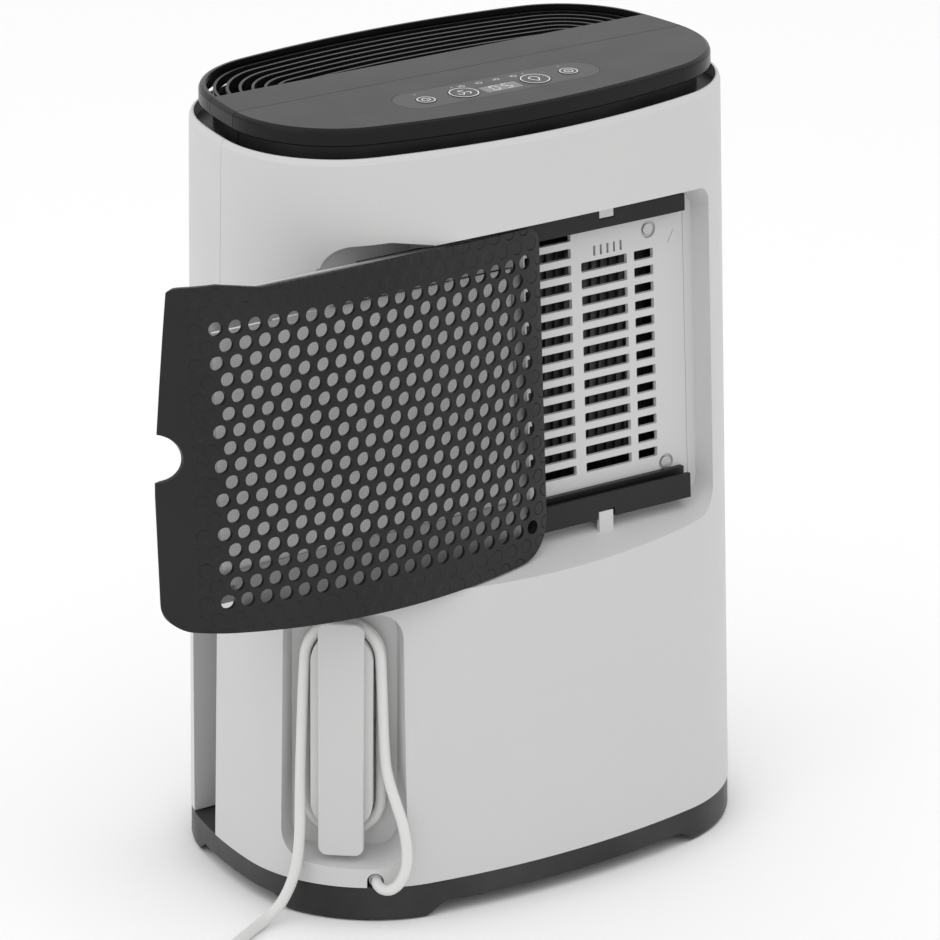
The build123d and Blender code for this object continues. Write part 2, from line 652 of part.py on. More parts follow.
MESH_X = (FRAME_LEFT - FRAME_BAR, FRAME_RIGHT + FRAME_BAR)
MESH_Z = (FRAME_LOW + FRAME_BAR, FRAME_HIGH - FRAME_BAR)
with BuildPart() as filter_frame:
    add(frame_slab(95.5, 98.5, FRAME_LEFT, FRAME_RIGHT, TONGUE_LOW, TONGUE_HIGH))
    add(frame_slab(98.5, FRAME_FACE, FRAME_LEFT, FRAME_RIGHT, FRAME_LOW, FRAME_HIGH))
    add(frame_slab(103.0, FRAME_FACE, 104.0, FRAME_RIGHT + 3, FRAME_HIGH - 1, 428.0))
    add(frame_slab(103.0, FRAME_FACE, 104.0, FRAME_RIGHT + 3, 222.0, FRAME_LOW + 1))
    add(frame_slab(90, 115, *MESH_X, *MESH_Z), mode=Mode.SUBTRACT)
    for bar in range(1, 5):
        bar_x = MESH_X[1] + bar * (MESH_X[0] - MESH_X[1]) / 5
        add(frame_slab(96, 103, bar_x + 1.2, bar_x - 1.2, *MESH_Z))
save(filter_frame, "filter_frame")

with BuildPart() as filter_mesh:
    add(frame_slab(103.1, 103.9, MESH_X[0] - 0.3, MESH_X[1] + 0.3, MESH_Z[0] + 1,
                   MESH_Z[1] - 1))
save(filter_mesh, "filter_mesh")

# ---------------------------------------------------------------- cord winder and cord
HUB_WIDTH = 39.0
WOUND_WIDTH = 54.4
WOUND_HEIGHT = 149.0
HUB_HEIGHT = WOUND_HEIGHT - (WOUND_WIDTH - HUB_WIDTH)
WINDING_BACK = WINDER_FLOOR + 1.0
WINDING_FRONT = WINDING_BACK + 2 * CORD + 0.4
PLATE_BACK = WINDING_FRONT + 1.0
PLATE_FRONT = PLATE_BACK + 4.5
PLATE_SIZE = (28.8, 157.0)

with BuildPart() as cord_winder:
    with BuildSketch(winder_plane(WINDER_FLOOR + 0.1)):
        SlotOverall(HUB_HEIGHT, HUB_WIDTH, rotation=90)
    extrude(amount=PLATE_BACK - WINDER_FLOOR - 0.1)
    with BuildSketch(winder_plane(PLATE_BACK)):
        with Locations((0, -3.5)):
            RectangleRounded(*PLATE_SIZE, 6)
    extrude(amount=PLATE_FRONT - PLATE_BACK)
    fillet(cord_winder.edges().filter_by(
        lambda e: abs(winder_plane(0).to_local_coords(e.center()).Z - PLATE_FRONT) < 0.01), 1.2)
save(cord_winder, "cord_winder")

with BuildPart() as cord_winding:
    with BuildSketch(winder_plane(WINDING_BACK)):
        SlotOverall(WOUND_HEIGHT, WOUND_WIDTH, rotation=90)
        SlotOverall(HUB_HEIGHT + 0.8, HUB_WIDTH + 0.8, rotation=90, mode=Mode.SUBTRACT)
    extrude(amount=WINDING_FRONT - WINDING_BACK)
save(cord_winding, "cord_winding")


def on_wall(side, depth, height):
    """A point given along the wall from the winder, by its depth and its height."""
    return winder_plane(depth).from_local_coords(Vector(side, height - WINDER_Z, 0))


def cord_tube(points, name, share=0.45):
    """A cord of straight runs joined by arcs as large as the runs allow."""
    runs = [(points[i + 1] - points[i]) for i in range(len(points) - 1)]
    radii = []
    for first, second in zip(runs, runs[1:]):
        turn = radians(first.get_angle(second))
        radii.append(share * min(first.length, second.length) / tan(turn / 2))
    print(name, "radii", [round(r, 1) for r in radii])
    with BuildPart() as tube:
        with BuildLine() as path:
            FilletPolyline(*points, radius=radii)
        route = path.wires()[0]
        with BuildSketch(Plane(origin=route @ 0, z_dir=route % 0)):
            Circle(CORD / 2)
        sweep()
    section = pi * (CORD / 2)**2
    print(name, "length", round(route.length, 1),
          "volume ratio", round(tube.part.volume / (section * route.length), 4))
    return tube


lead_route = [
    on_wall(21.8, 152.5, 27.4), on_wall(22.2, 161.0, 26.4), on_wall(26.0, 167.2, 24.0),
    on_wall(32.4, 170.6, 24.6), on_wall(38.8, 170.9, 30.0), on_wall(42.6, 168.6, 39.6),
    on_wall(42.4, 165.6, 52.6), on_wall(39.6, 162.4, 66.4), on_wall(34.6, 159.2, 79.8),
    on_wall(29.6, 155.2, 93.2), on_wall(26.4, 150.6, 107.0), on_wall(25.4, 147.6, 122.0)]
cord_lead = cord_tube(lead_route, "cord_lead")
save(cord_lead, "cord_lead")

run_route = [
    on_wall(-25.2, 148.4, 116.0), on_wall(-26.2, 151.4, 96.0), on_wall(-26.0, 155.0, 76.0),
    on_wall(-25.6, 159.4, 58.0), on_wall(-26.4, 163.2, 40.6), on_wall(-29.8, 166.0, 25.4),
    on_wall(-35.8, 169.4, 12.6), on_wall(-43.2, 176.2, 5.2), on_wall(-49.8, 187.2, 3.6),
    on_wall(-55.0, 200.4, 3.6), on_wall(-60.2, 214.4, 3.6), on_wall(-67.0, 229.6, 3.6),
    on_wall(-76.4, 244.6, 3.6), on_wall(-89.2, 259.0, 3.6), on_wall(-104.0, 271.5, 3.6)]
cord_run = cord_tube(run_route, "cord_run")
save(cord_run, "cord_run")

COIL_INNER = 34.0           # the inner and the outer lane of the turns on the floor
COIL_OUTER = 41.0
COIL_HEIGHT = 2 * CORD + 0.4
PLUG_AXIS = 12.0
TAIL = 34.0
coil_heading = (run_route[-1] - run_route[-2]).normalized()
coil_side = Vector(-coil_heading.Y, coil_heading.X, 0)
coil_centre = run_route[-1] + coil_side * COIL_OUTER
with BuildPart() as cord_coil:
    with BuildSketch(Plane((coil_centre.X, coil_centre.Y, 0.1))):
        Circle(COIL_OUTER + CORD / 2)
        Circle(COIL_INNER - CORD / 2, mode=Mode.SUBTRACT)
    extrude(amount=COIL_HEIGHT)
save(cord_coil, "cord_coil")

tail_start = coil_centre + coil_side * COIL_OUTER + Vector(0, 0, 7.2)
tail_end = tail_start - coil_heading * TAIL + Vector(0, 0, PLUG_AXIS - tail_start.Z)
tail_bow = coil_side * -1.0
tail_route = [tail_start, tail_start * 0.66 + tail_end * 0.34 + tail_bow,
              tail_start * 0.34 + tail_end * 0.66 + tail_bow, tail_end]
cord_tail = cord_tube(tail_route, "cord_tail")
save(cord_tail, "cord_tail")

PLUG_BODY = 40.0
plug_plane = Plane(origin=tail_end, x_dir=coil_side, z_dir=-coil_heading)
with BuildPart() as mains_plug:
    with BuildSketch(plug_plane.offset(0.05)):
        RectangleRounded(13, 12, 4)
    with BuildSketch(plug_plane.offset(14)):
        RectangleRounded(26, 20, 7)
    with BuildSketch(plug_plane.offset(26)):
        RectangleRounded(34, 23.6, 9)
    loft(ruled=True)
    with BuildSketch(plug_plane.offset(26)):
        RectangleRounded(34, 23.6, 9)
    extrude(amount=PLUG_BODY - 26)
    with BuildSketch(plug_plane.offset(PLUG_BODY)):
        with Locations((-9.5, 0), (9.5, 0)):
            Circle(2.4)
    extrude(amount=19)
    chamfer(mains_plug.faces().filter_by(GeomType.PLANE).sort_by(
        lambda f: plug_plane.to_local_coords(f.center()).Z)[-2:].edges(), 0.8)
save(mains_plug, "mains_plug")

with BuildPart() as cord_bush:
    with BuildSketch(winder_plane(152.6)):
        with Locations((OUTLET_SIDE, OUTLET_Z - WINDER_Z)):
            Circle(5.0)
            Circle(CORD / 2 + 0.9, mode=Mode.SUBTRACT)
    extrude(amount=7)
    split(bisect_by=Plane.XY.offset(SHELL_BOTTOM + 0.1), keep=Keep.TOP)
save(cord_bush, "cord_bush")

# ---------------------------------------------------------------- water tank
TANK_LOW = 24.0
TANK_WALL = 2.5
TANK_REAR = -60.5           # flat rear wall at the finger slots
BAY_HALF = 126.0
BAY_REAR = -12.0
LID_LOW = 206.0
LID_THICKNESS = 2.5
WINDOW_WIDTH = 14.0
WINDOW_LOW = 45.0
WINDOW_HIGH = 185.0


def tank_plan(height, inset, bay_inset):
    """Plan of the tank: the housing's front segment plus the bay behind it."""
    with BuildSketch(Plane.XY.offset(height)) as plan:
        add(body_outline(height, inset))
        with Locations((0, TANK_REAR - bay_inset)):
            Rectangle(400, 300, align=(Align.CENTER, Align.MAX), mode=Mode.INTERSECT)
        with Locations((0, BAY_REAR - bay_inset)):
            Rectangle(2 * (BAY_HALF - bay_inset), BAY_REAR - TANK_REAR + 5,
                      align=(Align.CENTER, Align.MAX))
    return plan.sketch


def tank_block(low, high, inset, bay_inset):
    """The tank's volume between two heights; its front follows the housing's lean."""
    with BuildPart() as block:
        extrude(to_extrude=tank_plan(low, inset - 1.0, bay_inset), amount=high - low)
        add(body_block(low - 1, high + 1, inset), mode=Mode.INTERSECT)
    return block.part


with BuildPart() as level_window:
    add(body_block(WINDOW_LOW, WINDOW_HIGH, 0.0))
    add(body_block(WINDOW_LOW - 1, WINDOW_HIGH + 1, TANK_WALL), mode=Mode.SUBTRACT)
    with BuildSketch(Plane.XZ):
        with Locations((0, (WINDOW_LOW + WINDOW_HIGH) / 2)):
            SlotOverall(WINDOW_HIGH - WINDOW_LOW, WINDOW_WIDTH, rotation=90)
    extrude(amount=200, mode=Mode.INTERSECT)
save(level_window, "level_window")

FLOAT_PIVOT = (95.0, -30.0, 192.0)

with BuildPart() as water_tank:
    add(tank_block(TANK_LOW, TANK_TOP, 0.0, 0.0))
    add(tank_block(TANK_LOW + TANK_WALL, TANK_TOP + 10, TANK_WALL, TANK_WALL),
        mode=Mode.SUBTRACT)
    with Locations((0, -61, LID_LOW)):
        Box(2 * HALF_WIDTH + 10, 110, 20, align=(Align.CENTER, Align.MIN, Align.MIN),
            mode=Mode.SUBTRACT)
    with BuildSketch(Plane.XZ):
        with Locations((0, (WINDOW_LOW + WINDOW_HIGH) / 2)):
            SlotOverall(WINDOW_HIGH - WINDOW_LOW, WINDOW_WIDTH, rotation=90)
    extrude(amount=200, mode=Mode.SUBTRACT)
    for lug_x in (FLOAT_PIVOT[0] - 10, FLOAT_PIVOT[0] + 10):
        with Locations((lug_x, -13.0, FLOAT_PIVOT[2])):
            Box(3, 22, 9, align=(Align.CENTER, Align.MAX, Align.CENTER))
        with Locations(Location((lug_x, FLOAT_PIVOT[1], FLOAT_PIVOT[2]), (0, 90, 0))):
            Cylinder(2.05, 6, mode=Mode.SUBTRACT)
save(water_tank, "water_tank")

with BuildPart() as tank_lid:
    add(tank_block(LID_LOW, LID_LOW + LID_THICKNESS, TANK_WALL + 0.5, TANK_WALL + 0.5))
    with Locations((0, -35, LID_LOW)):
        Cylinder(18, 20, mode=Mode.SUBTRACT)
    with Locations((0, -35, LID_LOW + LID_THICKNESS)):
        Cylinder(20, 1.5, align=(Align.CENTER, Align.CENTER, Align.MIN))
        Cylinder(18, 1.5, align=(Align.CENTER, Align.CENTER, Align.MIN), mode=Mode.SUBTRACT)
    with Locations((-110, -85, LID_LOW)):
        Box(26, 14, 20, mode=Mode.SUBTRACT)
save(tank_lid, "tank_lid")

with BuildPart() as float_pin:
    with Locations(Location(FLOAT_PIVOT, (0, 90, 0))):
        Cylinder(2.0, 23)
save(float_pin, "float_pin")

with BuildPart() as float_arm:
    with Locations(Location(FLOAT_PIVOT, (0, 90, 0))):
        Cylinder(4.5, 14)
    with BuildSketch(Plane.YZ.offset(FLOAT_PIVOT[0] - 3)):
        with BuildLine():
            Polyline((-31, 195), (-31, 189), (-72, 158), (-76, 163), close=True)
        make_face()
    extrude(amount=6)
    with Locations(Location((FLOAT_PIVOT[0], -78, 156), (35, 0, 0))):
        Box(26, 24, 16)
    with Locations(Location(FLOAT_PIVOT, (0, 90, 0))):
        Cylinder(2.05, 20, mode=Mode.SUBTRACT)
save(float_arm, "float_arm")

# ---------------------------------------------------------------- chassis and works
DECK_THICKNESS = 3.0
SPOUT = (0.0, -35.0)
PIPE_HOLES = ((-126.0, 44.0), (-126.0, 20.0))

with BuildPart() as side_partitions:
    with Locations((0, -15.25, SHELL_BOTTOM + 0.1)):
        Box(400, 2.5, DECK_LEVEL - SHELL_BOTTOM, align=(Align.CENTER, Align.CENTER, Align.MIN))
        Box(258, 5, 500, mode=Mode.SUBTRACT)
    add(body_block(SHELL_BOTTOM, 300, WALL + 0.4), mode=Mode.INTERSECT)

with BuildPart() as chassis:
    add(body_block(DECK_LEVEL, DECK_LEVEL + DECK_THICKNESS, WALL + 0.4))
    with Locations((0, 66, DECK_LEVEL - 1)):
        Box(400, 200, 8, align=(Align.CENTER, Align.MIN, Align.MIN), mode=Mode.SUBTRACT)
    with Locations((*SPOUT, DECK_LEVEL)):
        Cylinder(8, 20, mode=Mode.SUBTRACT)
    for hole_x, hole_y in PIPE_HOLES:
        with Locations((hole_x, hole_y, DECK_LEVEL)):
            Cylinder(7, 20, mode=Mode.SUBTRACT)
    with Locations((0, -9.25, SHELL_BOTTOM + 0.1)):
        Box(263, 2.5, DECK_LEVEL - SHELL_BOTTOM, align=(Align.CENTER, Align.CENTER, Align.MIN))
    add(side_partitions.part)
    for side in (-1, 1):
        with Locations((side * 130.25, -12, SHELL_BOTTOM + 0.1)):
            Box(2.5, 8, DECK_LEVEL - SHELL_BOTTOM,
                align=(Align.CENTER, Align.CENTER, Align.MIN))
save(chassis, "chassis")

COMPRESSOR_AT = (-45.0, 48.0)
COMPRESSOR_RADIUS = 47.0
MOUNT_HEIGHT = 9.0
MOUNT_TOP = SHELL_BOTTOM + 0.1 + MOUNT_HEIGHT
MOUNT_RING = 44.0

with BuildPart() as compressor_mounts:
    with Locations((*COMPRESSOR_AT, SHELL_BOTTOM + 0.1)):
        with PolarLocations(MOUNT_RING, 3, start_angle=30):
            Cylinder(8, MOUNT_HEIGHT, align=(Align.CENTER, Align.CENTER, Align.MIN))
save(compressor_mounts, "compressor_mounts")

with BuildPart() as compressor:
    with BuildSketch(Plane.XZ.offset(-COMPRESSOR_AT[1])):
        with BuildLine():
            Polyline((COMPRESSOR_AT[0], 36), (COMPRESSOR_AT[0] + 30, 36))
            RadiusArc((COMPRESSOR_AT[0] + 30, 36), (COMPRESSOR_AT[0] + COMPRESSOR_RADIUS, 58), -26)
            Line((COMPRESSOR_AT[0] + COMPRESSOR_RADIUS, 58),
                 (COMPRESSOR_AT[0] + COMPRESSOR_RADIUS, 150))
            RadiusArc((COMPRESSOR_AT[0] + COMPRESSOR_RADIUS, 150),
                      (COMPRESSOR_AT[0] + 26, 176), -30)
            Line((COMPRESSOR_AT[0] + 26, 176), (COMPRESSOR_AT[0], 176))
            Line((COMPRESSOR_AT[0], 176), (COMPRESSOR_AT[0], 36))
        make_face()
    revolve(axis=Axis((COMPRESSOR_AT[0], COMPRESSOR_AT[1], 0), (0, 0, 1)))
    with BuildSketch(Plane.XY.offset(MOUNT_TOP)):
        with Locations(COMPRESSOR_AT):
            Circle(34)
            with PolarLocations(MOUNT_RING, 3, start_angle=30):
                Circle(11)
    extrude(amount=6)
save(compressor, "compressor")

COIL_HALF = 106.0
COIL_LOW = 238.0
COIL_HIGH = 404.0
EVAPORATOR_Y = (35.0, 54.0)
CONDENSER_Y = (10.0, 30.0)
BRACKET_IN = 108.0
BRACKET_OUT = 110.0
FIN_PITCH = 7.0
PIPE_RADIUS = 4.0


def finned_coil(low_y, high_y, stub_z):
    """A tube-and-fin block with return bends at both ends and a stub for its pipe."""
    middle_y = (low_y + high_y) / 2
    with BuildPart() as coil:
        with Locations((0, middle_y, (COIL_LOW + COIL_HIGH) / 2)):
            Box(2 * COIL_HALF, high_y - low_y, COIL_HIGH - COIL_LOW)
        grooves = int(2 * COIL_HALF / FIN_PITCH) - 1
        with Locations((0, high_y, (COIL_LOW + COIL_HIGH) / 2)):
            with GridLocations(FIN_PITCH, 1, grooves, 1):
                Box(FIN_PITCH - 1.5, 5, COIL_HIGH - COIL_LOW, mode=Mode.SUBTRACT)
        for side in (-1, 1):
            for bend in range(4):
                with Locations((side * (COIL_HALF + 5), middle_y, COIL_LOW + 26 + 38 * bend)):
                    Box(11, 7, 26)
        with Locations(Location((-COIL_HALF - 6.5, middle_y, stub_z), (0, 90, 0))):
            Cylinder(PIPE_RADIUS, 15)
    return coil


evaporator = finned_coil(*EVAPORATOR_Y, 393.0)
save(evaporator, "evaporator")
condenser = finned_coil(*CONDENSER_Y, 393.0)
save(condenser, "condenser")

with BuildPart() as coil_bracket:
    for side in (-1, 1):
        with Locations((side * (BRACKET_IN + BRACKET_OUT) / 2, 32, DECK_LEVEL + 3.1)):
            Box(BRACKET_OUT - BRACKET_IN, 48, 190, align=(Align.CENTER, Align.CENTER, Align.MIN))
        for coil_y in (sum(EVAPORATOR_Y) / 2, sum(CONDENSER_Y) / 2):
            for bend in range(4):
                with Locations((side * 109, coil_y, COIL_LOW + 26 + 38 * bend)):
                    Box(10, 8, 27, mode=Mode.SUBTRACT)
            with Locations((-109, coil_y, 393.0)):
                Box(10, 9, 9, mode=Mode.SUBTRACT)
    with Locations((0, 32, DECK_LEVEL + 3.1 + 188)):
        Box(2 * BRACKET_OUT, 48, 2, align=(Align.CENTER, Align.CENTER, Align.MIN))
save(coil_bracket, "coil_bracket")

TRAY_LOW = DECK_LEVEL + DECK_THICKNESS + 0.2
with BuildPart() as drip_tray:
    with Locations((0, 33, TRAY_LOW)):
        Box(208, 52, 13, align=(Align.CENTER, Align.CENTER, Align.MIN))
    with Locations((0, 33, TRAY_LOW + 2)):
        Box(204, 48, 13, align=(Align.CENTER, Align.CENTER, Align.MIN), mode=Mode.SUBTRACT)
    with Locations((0, -16.5, TRAY_LOW)):
        Box(18, 51, 7.5, align=(Align.CENTER, Align.CENTER, Align.MIN))
    with Locations((0, -15.5, TRAY_LOW + 2)):
        Box(14, 49, 5.6, align=(Align.CENTER, Align.CENTER, Align.MIN), mode=Mode.SUBTRACT)
    with Locations((*SPOUT, TRAY_LOW + 2)):
        Cylinder(6, 13, align=(Align.CENTER, Align.CENTER, Align.MAX))
    with Locations((*SPOUT, TRAY_LOW + 2)):
        Cylinder(4.5, 40, mode=Mode.SUBTRACT)
save(drip_tray, "drip_tray")

FAN_CENTRE = (0.0, 330.0)
FAN_RADIUS = 84.0
FAN_BACK = -12.0
FAN_FRONT = -54.0
SCROLL_BACK = -3.0
SCROLL_FRONT = -62.0
SCROLL_RADIUS = 100.0
SCROLL_WALL = 2.5
SHAFT_RADIUS = 4.0
BLADES = 32


def scroll_profile(shrink):
    """Outline of the fan housing seen along Y: a round chamber with an upward outlet."""
    with BuildSketch(Plane.XZ.offset(-SCROLL_BACK)) as profile:
        with Locations(FAN_CENTRE):
            Circle(SCROLL_RADIUS - shrink)
        with Locations((-SCROLL_RADIUS + shrink, FAN_CENTRE[1])):
            Rectangle(130 - 2 * shrink, 148, align=(Align.MIN, Align.MIN))
    return profile.sketch


with BuildPart() as scroll_inside:
    extrude(to_extrude=scroll_profile(SCROLL_WALL),
            amount=SCROLL_BACK - SCROLL_FRONT - 2 * SCROLL_WALL)

with BuildPart() as fan_scroll:
    extrude(to_extrude=scroll_profile(0), amount=SCROLL_BACK - SCROLL_FRONT)
    add(scroll_inside.part.moved(Location((0, -SCROLL_WALL, 0))), mode=Mode.SUBTRACT)
    with Locations((-SCROLL_RADIUS + 65, (SCROLL_BACK + SCROLL_FRONT) / 2, 478)):
        Box(130 - 2 * SCROLL_WALL, SCROLL_BACK - SCROLL_FRONT - 2 * SCROLL_WALL, 20,
            mode=Mode.SUBTRACT)
    with Locations(Location((FAN_CENTRE[0], SCROLL_BACK, FAN_CENTRE[1]), (90, 0, 0))):
        Cylinder(70, 12, mode=Mode.SUBTRACT)
    with Locations(Location((FAN_CENTRE[0], SCROLL_FRONT, FAN_CENTRE[1]), (90, 0, 0))):
        Cylinder(9, 12, mode=Mode.SUBTRACT)
save(fan_scroll, "fan_scroll")

with BuildPart() as fan_wheel:
    with BuildSketch(Plane.XZ.offset(-FAN_FRONT)):
        with Locations(FAN_CENTRE):
            Circle(FAN_RADIUS)
            Circle(SHAFT_RADIUS, mode=Mode.SUBTRACT)
    extrude(amount=-2.5)
    with BuildSketch(Plane.XZ.offset(-FAN_FRONT)):
        with Locations(FAN_CENTRE):
            Circle(11)
            Circle(SHAFT_RADIUS, mode=Mode.SUBTRACT)
    extrude(amount=-22)
    with BuildSketch(Plane.XZ.offset(3 - FAN_BACK)):
        with Locations(FAN_CENTRE):
            Circle(FAN_RADIUS)
            Circle(FAN_RADIUS - 13, mode=Mode.SUBTRACT)
    extrude(amount=-3)
    with BuildSketch(Plane.XZ.offset(-FAN_FRONT)):
        with Locations(FAN_CENTRE):
            with PolarLocations(FAN_RADIUS - 7.5, BLADES):
                Rectangle(12, 1.6, rotation=35)
    extrude(amount=FAN_FRONT - FAN_BACK)
save(fan_wheel, "fan_wheel")

with BuildPart() as fan_shaft:
    with Locations(Location((FAN_CENTRE[0], -60, FAN_CENTRE[1]), (90, 0, 0))):
        Cylinder(SHAFT_RADIUS, 56)
save(fan_shaft, "fan_shaft")

with BuildPart() as fan_motor:
    with Locations(Location((FAN_CENTRE[0], SCROLL_FRONT - 0.1, FAN_CENTRE[1]), (90, 0, 0))):
        Cylinder(36, 34, align=(Align.CENTER, Align.CENTER, Align.MIN))
        Cylinder(SHAFT_RADIUS + 0.05, 28, align=(Align.CENTER, Align.CENTER, Align.MIN),
                 mode=Mode.SUBTRACT)
    chamfer(fan_motor.edges().filter_by(GeomType.CIRCLE).group_by(Axis.Y)[0], 3)
save(fan_motor, "fan_motor")


def pipe(points, bend, name):
    """A copper pipe with round bends."""
    with BuildPart() as tube:
        with BuildLine() as path:
            FilletPolyline(*points, radius=bend)
        route = path.wires()[0]
        with BuildSketch(Plane(origin=route @ 0, z_dir=route % 0)):
            Circle(PIPE_RADIUS)
        sweep()
    save(tube, name)


STUB_END = -COIL_HALF - 14.1
for pipe_name, (start_x, start_y), (hole_x, hole_y) in (
        ("suction_pipe", (-30.0, 60.0), PIPE_HOLES[0]),
        ("discharge_pipe", (-52.0, 36.0), PIPE_HOLES[1])):
    pipe([(start_x, start_y, 176.1), (start_x, start_y, 198), (hole_x, hole_y + 0.5, 198),
          (hole_x, hole_y + 0.5, 393), (STUB_END, hole_y + 0.5, 393)], 5, pipe_name)

with BuildPart() as run_capacitor:
    with Locations((48, 30, SHELL_BOTTOM + 0.1)):
        Cylinder(17, 62, align=(Align.CENTER, Align.CENTER, Align.MIN))
    fillet(run_capacitor.edges().filter_by(GeomType.CIRCLE), 1.5)
save(run_capacitor, "run_capacitor")

with BuildPart() as power_board:
    with Locations((-140, 22, 60)):
        Box(1.6, 56, 96, align=(Align.CENTER, Align.CENTER, Align.MIN))
    for part_y, part_z, part_size in ((8, 80, 14), (30, 86, 18), (18, 120, 16), (38, 132, 12)):
        with Locations((-139.2, part_y, part_z)):
            Box(part_size / 2, part_size, part_size, align=(Align.MIN, Align.CENTER, Align.CENTER))
save(power_board, "power_board")

with BuildPart() as tank_switch:
    with Locations((100, -7.9, 150)):
        Box(22, 9, 12, align=(Align.CENTER, Align.MIN, Align.CENTER))
        with Locations((0, 9, 0)):
            Box(6, 5, 6, align=(Align.CENTER, Align.MIN, Align.CENTER))
save(tank_switch, "tank_switch")

with BuildPart() as humidity_sensor:
    with Locations((-64, 56.6, 398)):
        Box(16, 2, 12)
        with Locations((0, 1, 0)):
            Box(7, 1.4, 7)
save(humidity_sensor, "humidity_sensor")
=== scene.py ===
import json
import math

import bpy
from mathutils import Matrix, Vector


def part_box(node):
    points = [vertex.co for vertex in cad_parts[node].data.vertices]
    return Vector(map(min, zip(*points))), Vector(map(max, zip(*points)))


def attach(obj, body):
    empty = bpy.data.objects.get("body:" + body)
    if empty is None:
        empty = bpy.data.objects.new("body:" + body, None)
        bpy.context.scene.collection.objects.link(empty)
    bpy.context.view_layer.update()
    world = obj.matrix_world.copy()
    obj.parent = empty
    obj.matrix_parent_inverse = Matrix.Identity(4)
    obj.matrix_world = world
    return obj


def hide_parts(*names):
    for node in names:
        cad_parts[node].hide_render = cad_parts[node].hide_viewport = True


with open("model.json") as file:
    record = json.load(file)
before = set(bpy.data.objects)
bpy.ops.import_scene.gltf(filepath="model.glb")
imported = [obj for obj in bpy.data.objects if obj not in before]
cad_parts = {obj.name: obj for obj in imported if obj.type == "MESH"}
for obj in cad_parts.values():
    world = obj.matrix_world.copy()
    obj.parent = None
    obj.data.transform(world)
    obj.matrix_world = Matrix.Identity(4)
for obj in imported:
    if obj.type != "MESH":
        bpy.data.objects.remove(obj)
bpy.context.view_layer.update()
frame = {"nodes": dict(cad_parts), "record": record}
nodes = frame["nodes"]

MM = 0.001


def metres(*values):
    """A vector in metres from millimetres."""
    return Vector(values) * MM


# ---------------------------------------------------------------- camera
VIEW_PLACE = (1990.35, 2845.63, 1566.57)
VIEW_LINE = (-0.53644, -0.76509, -0.35620)
VIEW_ROLL = 0.52            # degrees
LENS = 222.9                # focal length and sensor width in millimetres
SENSOR = 36
VIEW_END = 30               # metres


def camera():
    """The camera at the reference viewing angle."""
    line = Vector(VIEW_LINE).normalized()
    right = line.cross(Vector((0, 0, 1))).normalized()
    up = right.cross(line)
    roll = math.radians(VIEW_ROLL)
    side = right * math.cos(roll) + up * math.sin(roll)
    head = up * math.cos(roll) - right * math.sin(roll)
    data = bpy.data.cameras.new("camera")
    data.lens = LENS
    data.sensor_width = SENSOR
    data.clip_end = VIEW_END
    eye = bpy.data.objects.new("camera", data)
    turn = Matrix((side, head, -line)).transposed().to_4x4()
    eye.matrix_world = Matrix.Translation(metres(*VIEW_PLACE)) @ turn
    bpy.context.scene.collection.objects.link(eye)
    bpy.context.scene.camera = eye


camera()


# ---------------------------------------------------------------- light and floor
FLOOR_SIZE = 24             # metres
FLOOR_DROP = 0.0002         # keeps the floor clear of the feet
FLOOR_GREY = 0.93


def area_light(name, place, size, power, target=(0, 0, 0.25)):
    """A soft rectangular lamp that points at the object."""
    data = bpy.data.lights.new(name, "AREA")
    data.shape = "RECTANGLE"
    data.size = size[0]
    data.size_y = size[1]
    data.energy = power
    lamp = bpy.data.objects.new(name, data)
    lamp.location = place
    aim = Vector(target) - Vector(place)
    lamp.rotation_euler = aim.to_track_quat("-Z", "Y").to_euler()
    bpy.context.scene.collection.objects.link(lamp)


def studio():
    """Even pale surroundings, a pale floor and two soft lamps."""
    world = bpy.data.worlds.new("studio")
    bpy.context.scene.world = world
    world.use_nodes = True
    bpy.context.scene.view_settings.view_transform = "Standard"
    background = world.node_tree.nodes["Background"]
    background.inputs["Color"].default_value = (1, 1, 1, 1)
    background.inputs["Strength"].default_value = 1.0
    area_light("overhead", (0.5, 0.6, 2.6), (2.4, 2.4), 10)
    area_light("side", (2.6, 0.2, 1.5), (1.6, 1.6), 5)
    bpy.ops.mesh.primitive_plane_add(size=FLOOR_SIZE, location=(0, 0, -FLOOR_DROP))
    floor = bpy.context.object
    floor.name = "floor"
    floor.data.materials.append(plain("floor_paint", (FLOOR_GREY, FLOOR_GREY, FLOOR_GREY), 0.7))


# ---------------------------------------------------------------- materials
def shader_start(name):
    """A new node material, its Principled shader, and short ways to add nodes."""
    material = bpy.data.materials.new(name)
    material.use_nodes = True
    tree = material.node_tree
    return material, tree, tree.nodes["Principled BSDF"]


def plain(name, colour, roughness):
    """A material without pattern, for the floor only."""
    material, _, shader = shader_start(name)
    shader.inputs["Base Color"].default_value = (*colour, 1)
    shader.inputs["Roughness"].default_value = roughness
    return material


def noise(tree, scale, detail=4.0, stretch=(1, 1, 1)):
    """Noise in object coordinates; scale counts cells per metre."""
    place = tree.nodes.new("ShaderNodeTexCoord")
    fit = tree.nodes.new("ShaderNodeMapping")
    fit.inputs["Scale"].default_value = stretch
    texture = tree.nodes.new("ShaderNodeTexNoise")
    texture.inputs["Scale"].default_value = scale
    texture.inputs["Detail"].default_value = detail
    tree.links.new(place.outputs["Object"], fit.inputs["Vector"])
    tree.links.new(fit.outputs["Vector"], texture.inputs["Vector"])
    return texture.outputs["Fac"]


def spread(tree, value, low, high):
    """Maps a value around 0.5 to a range."""
    node = tree.nodes.new("ShaderNodeMapRange")
    node.inputs["From Min"].default_value = 0.3
    node.inputs["From Max"].default_value = 0.7
    node.inputs["To Min"].default_value = low
    node.inputs["To Max"].default_value = high
    tree.links.new(value, node.inputs["Value"])
    return node.outputs["Result"]


